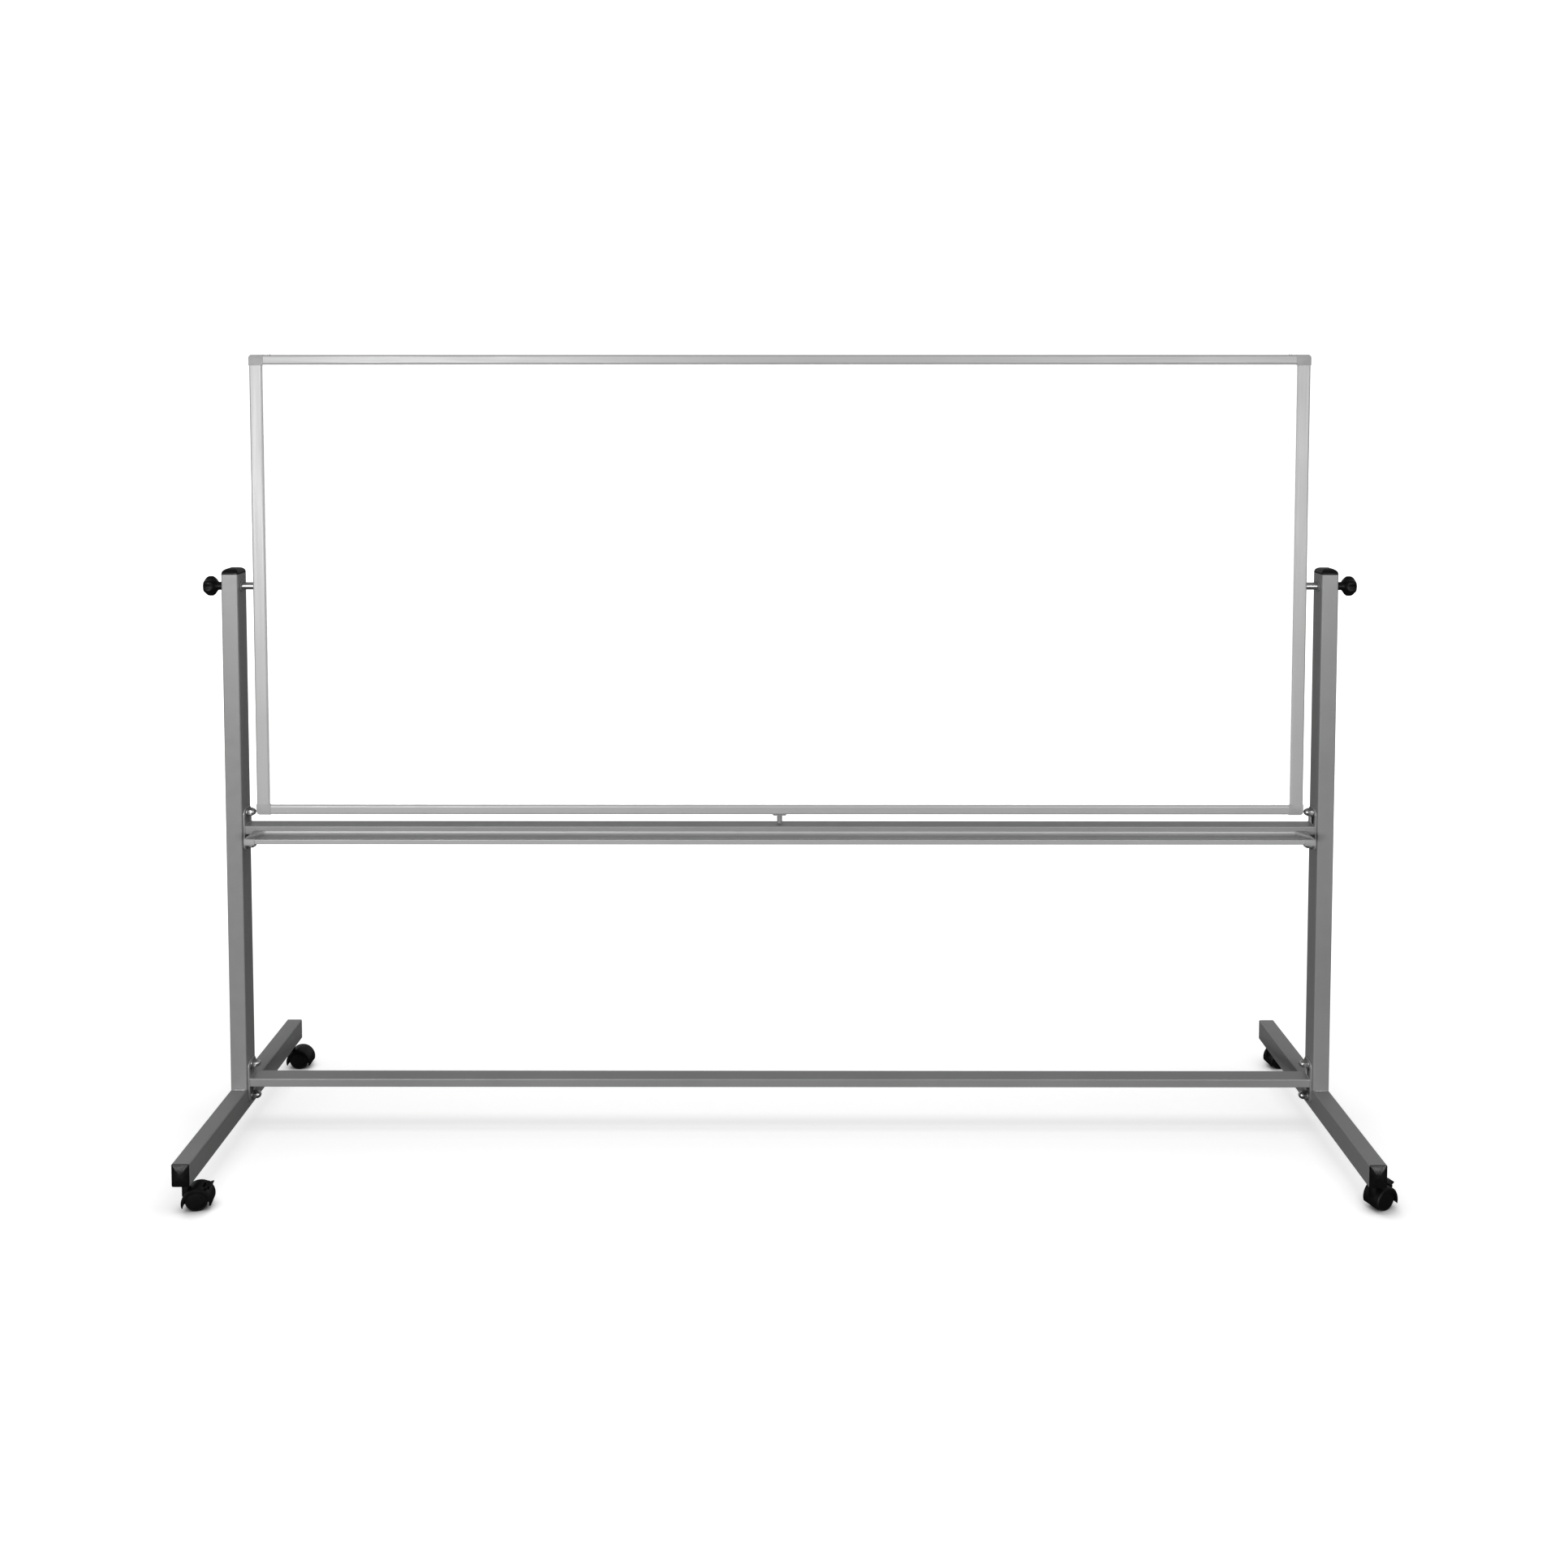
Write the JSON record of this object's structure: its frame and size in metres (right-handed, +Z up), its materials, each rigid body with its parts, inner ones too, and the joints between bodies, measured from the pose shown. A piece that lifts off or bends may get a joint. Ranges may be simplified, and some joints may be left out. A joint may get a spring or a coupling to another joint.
{
  "type": "rolling reversible whiteboard",
  "caption": "Large framed whiteboard that flips over between two posts on a wheeled stand, with clamping knobs, a spring latch, a marker tray and braked twin-wheel casters.",
  "frame": {"origin": "on the floor, under the middle of the stand", "axes": "+Z up; +X to the right for a user facing the board, along its width; the user and the marker tray are on the -Y side"},
  "size_m": [2.6718, 0.6489, 1.8321],
  "materials": {
    "grey_paint": "satin silver-grey powder coat",
    "anodised_aluminium": "satin anodised, drawn along its length",
    "grey_plastic": "moulded, fine grain",
    "black_plastic": "moulded nylon, satin",
    "zinc_steel": "bright zinc plate",
    "white_enamel": "glossy white enamel",
    "grey_nylon": "plain moulded",
    "fibreboard": "raw fibreboard, hidden in the frame"
  },
  "bodies": {
    "stand": {"post_left": "grey_paint", "post_right": "grey_paint", "foot_left": "grey_paint", "foot_right": "grey_paint", "post_caps": "black_plastic", "foot_end_caps": "black_plastic", "upper_crossbar": "grey_paint", "lower_crossbar": "grey_paint", "crossbar_end_plates": "grey_paint", "weld_studs": "zinc_steel", "stud_washers": "zinc_steel", "acorn_nuts": "zinc_steel", "marker_tray": "anodised_aluminium", "tray_end_cap_left": "grey_plastic", "tray_end_cap_right": "grey_plastic", "tray_screws": "zinc_steel", "pivot_bushes": "grey_nylon", "caster_sockets": "black_plastic", "caster_stems": "zinc_steel"},
    "board": {"board_core": "fibreboard", "front_writing_sheet": "white_enamel", "rear_writing_sheet": "white_enamel", "frame_rail_top": "anodised_aluminium", "frame_rail_bottom": "anodised_aluminium", "frame_stile_left": "anodised_aluminium", "frame_stile_right": "anodised_aluminium", "corner_caps": "grey_plastic", "frame_screws": "zinc_steel", "pivot_shaft_left": "zinc_steel", "pivot_shaft_right": "zinc_steel", "pivot_plates": "zinc_steel", "latch_body": "grey_paint", "latch_screws": "zinc_steel", "latch_spring": "zinc_steel"},
    "latch_plunger": {"latch_plunger": "zinc_steel"},
    "knob_left": {"knob_left": "black_plastic", "knob_insert_left": "zinc_steel", "knob_washer_left": "zinc_steel"},
    "knob_right": {"knob_right": "black_plastic", "knob_insert_right": "zinc_steel", "knob_washer_right": "zinc_steel"},
    "caster_front_left": {"caster_hood_front_left": "black_plastic", "axle_front_left": "zinc_steel"},
    "wheel_front_left_outer": {"wheel_front_left_outer": "black_plastic"},
    "wheel_front_left_inner": {"wheel_front_left_inner": "black_plastic"},
    "brake_lever_left": {"brake_lever_left": "black_plastic"},
    "caster_front_right": {"caster_hood_front_right": "black_plastic", "axle_front_right": "zinc_steel"},
    "wheel_front_right_outer": {"wheel_front_right_outer": "black_plastic"},
    "wheel_front_right_inner": {"wheel_front_right_inner": "black_plastic"},
    "brake_lever_right": {"brake_lever_right": "black_plastic"},
    "caster_rear_left": {"caster_hood_rear_left": "black_plastic", "axle_rear_left": "zinc_steel"},
    "wheel_rear_left_outer": {"wheel_rear_left_outer": "black_plastic"},
    "wheel_rear_left_inner": {"wheel_rear_left_inner": "black_plastic"},
    "caster_rear_right": {"caster_hood_rear_right": "black_plastic", "axle_rear_right": "zinc_steel"},
    "wheel_rear_right_outer": {"wheel_rear_right_outer": "black_plastic"},
    "wheel_rear_right_inner": {"wheel_rear_right_inner": "black_plastic"}
  },
  "joints": [
    {"name": "board_flip", "type": "hinge", "parent": "stand", "child": "board", "pos_m": [0, 0, 1.296], "axis": [1, 0, 0], "continuous": true},
    {"name": "latch_slide", "type": "slide", "parent": "board", "child": "latch_plunger", "axis": [0, 0, 1], "range_m": [0, 0.009], "deforming": ["latch_spring"]},
    {"name": "knob_left_turn", "type": "hinge", "parent": "board", "child": "knob_left", "pos_m": [-1.313, 0, 1.296], "axis": [1, 0, 0], "continuous": true},
    {"name": "knob_right_turn", "type": "hinge", "parent": "board", "child": "knob_right", "pos_m": [1.313, 0, 1.296], "axis": [1, 0, 0], "continuous": true},
    {"name": "swivel_front_left", "type": "hinge", "parent": "stand", "child": "caster_front_left", "pos_m": [-1.267, -0.296, 0.05], "axis": [0, 0, 1], "continuous": true},
    {"name": "roll_front_left_outer", "type": "hinge", "parent": "caster_front_left", "child": "wheel_front_left_outer", "pos_m": [-1.24336, -0.29183, 0.024], "axis": [-0.1736, 0.9848, 0], "continuous": true},
    {"name": "roll_front_left_inner", "type": "hinge", "parent": "caster_front_left", "child": "wheel_front_left_inner", "pos_m": [-1.24336, -0.29183, 0.024], "axis": [-0.1736, 0.9848, 0], "continuous": true},
    {"name": "brake_front_left", "type": "hinge", "parent": "caster_front_left", "child": "brake_lever_left", "pos_m": [-1.22529, -0.28865, 0.04621], "axis": [-0.1736, 0.9848, 0], "range_deg": [0, 25]},
    {"name": "swivel_front_right", "type": "hinge", "parent": "stand", "child": "caster_front_right", "pos_m": [1.267, -0.296, 0.05], "axis": [0, 0, 1], "continuous": true},
    {"name": "roll_front_right_outer", "type": "hinge", "parent": "caster_front_right", "child": "wheel_front_right_outer", "pos_m": [1.28875, -0.28586, 0.024], "axis": [-0.4226, 0.9063, 0], "continuous": true},
    {"name": "roll_front_right_inner", "type": "hinge", "parent": "caster_front_right", "child": "wheel_front_right_inner", "pos_m": [1.28875, -0.28586, 0.024], "axis": [-0.4226, 0.9063, 0], "continuous": true},
    {"name": "brake_front_right", "type": "hinge", "parent": "caster_front_right", "child": "brake_lever_right", "pos_m": [1.30539, -0.2781, 0.04621], "axis": [-0.4226, 0.9063, 0], "range_deg": [0, 25]},
    {"name": "swivel_rear_left", "type": "hinge", "parent": "stand", "child": "caster_rear_left", "pos_m": [-1.267, 0.296, 0.05], "axis": [0, 0, 1], "continuous": true},
    {"name": "roll_rear_left_outer", "type": "hinge", "parent": "caster_rear_left", "child": "wheel_rear_left_outer", "pos_m": [-1.243, 0.296, 0.024], "axis": [0, 1, 0], "continuous": true},
    {"name": "roll_rear_left_inner", "type": "hinge", "parent": "caster_rear_left", "child": "wheel_rear_left_inner", "pos_m": [-1.243, 0.296, 0.024], "axis": [0, 1, 0], "continuous": true},
    {"name": "swivel_rear_right", "type": "hinge", "parent": "stand", "child": "caster_rear_right", "pos_m": [1.267, 0.296, 0.05], "axis": [0, 0, 1], "continuous": true},
    {"name": "roll_rear_right_outer", "type": "hinge", "parent": "caster_rear_right", "child": "wheel_rear_right_outer", "pos_m": [1.29064, 0.30017, 0.024], "axis": [-0.1736, 0.9848, 0], "continuous": true},
    {"name": "roll_rear_right_inner", "type": "hinge", "parent": "caster_rear_right", "child": "wheel_rear_right_inner", "pos_m": [1.29064, 0.30017, 0.024], "axis": [-0.1736, 0.9848, 0], "continuous": true}
  ]
}
